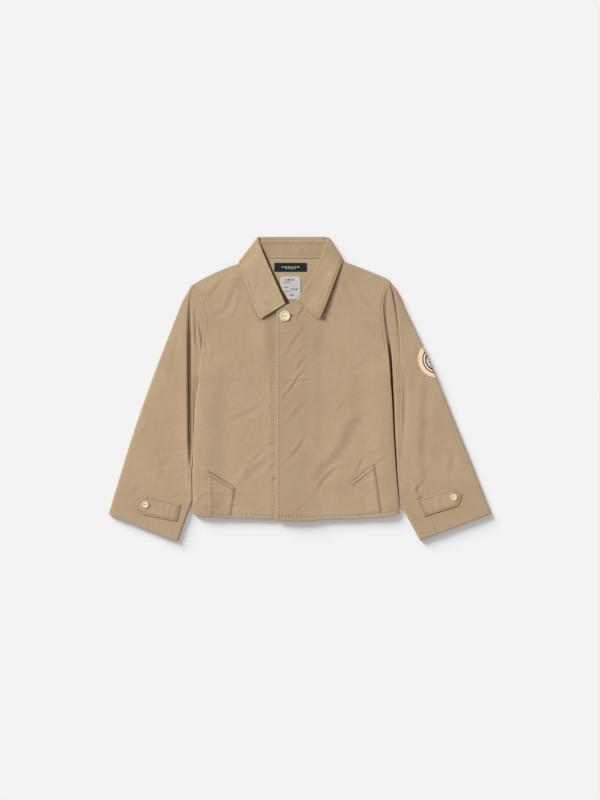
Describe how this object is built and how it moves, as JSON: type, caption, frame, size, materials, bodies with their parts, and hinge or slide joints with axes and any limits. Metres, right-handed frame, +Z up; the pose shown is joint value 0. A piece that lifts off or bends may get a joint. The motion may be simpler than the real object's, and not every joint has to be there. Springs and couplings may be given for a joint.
{
  "type": "shop coat",
  "caption": "Short cotton twill work coat with a fly front, point collar, cuff tabs and slanted pockets, laid flat on its back.",
  "frame": {"origin": "on the surface it lies on, under the middle of its box", "axes": "+Z up out of the front of the coat, +Y towards the collar, +X towards the wearer's left sleeve"},
  "size_m": [0.841, 0.67, 0.0118],
  "materials": {
    "twill": "matt cotton twill",
    "button": "satin horn-coloured",
    "label_dark": "woven satin",
    "label_pale": "smooth woven tape",
    "badge": "embroidered"
  },
  "bodies": {
    "root": {"back": "twill", "front_right": "twill", "front_left": "twill", "sleeve_top_right": "twill", "sleeve_top_left": "twill", "sleeve_under_right": "twill", "sleeve_under_left": "twill", "collar_stand": "twill", "collar_leaf": "twill", "pocket_right": "twill", "pocket_left": "twill", "tab_right": "twill", "tab_left": "twill", "button_front": "button", "button_cuff_right": "button", "button_cuff_left": "button", "label_neck": "label_dark", "label_size": "label_pale", "sleeve_badge": "badge"}
  },
  "joints": []
}
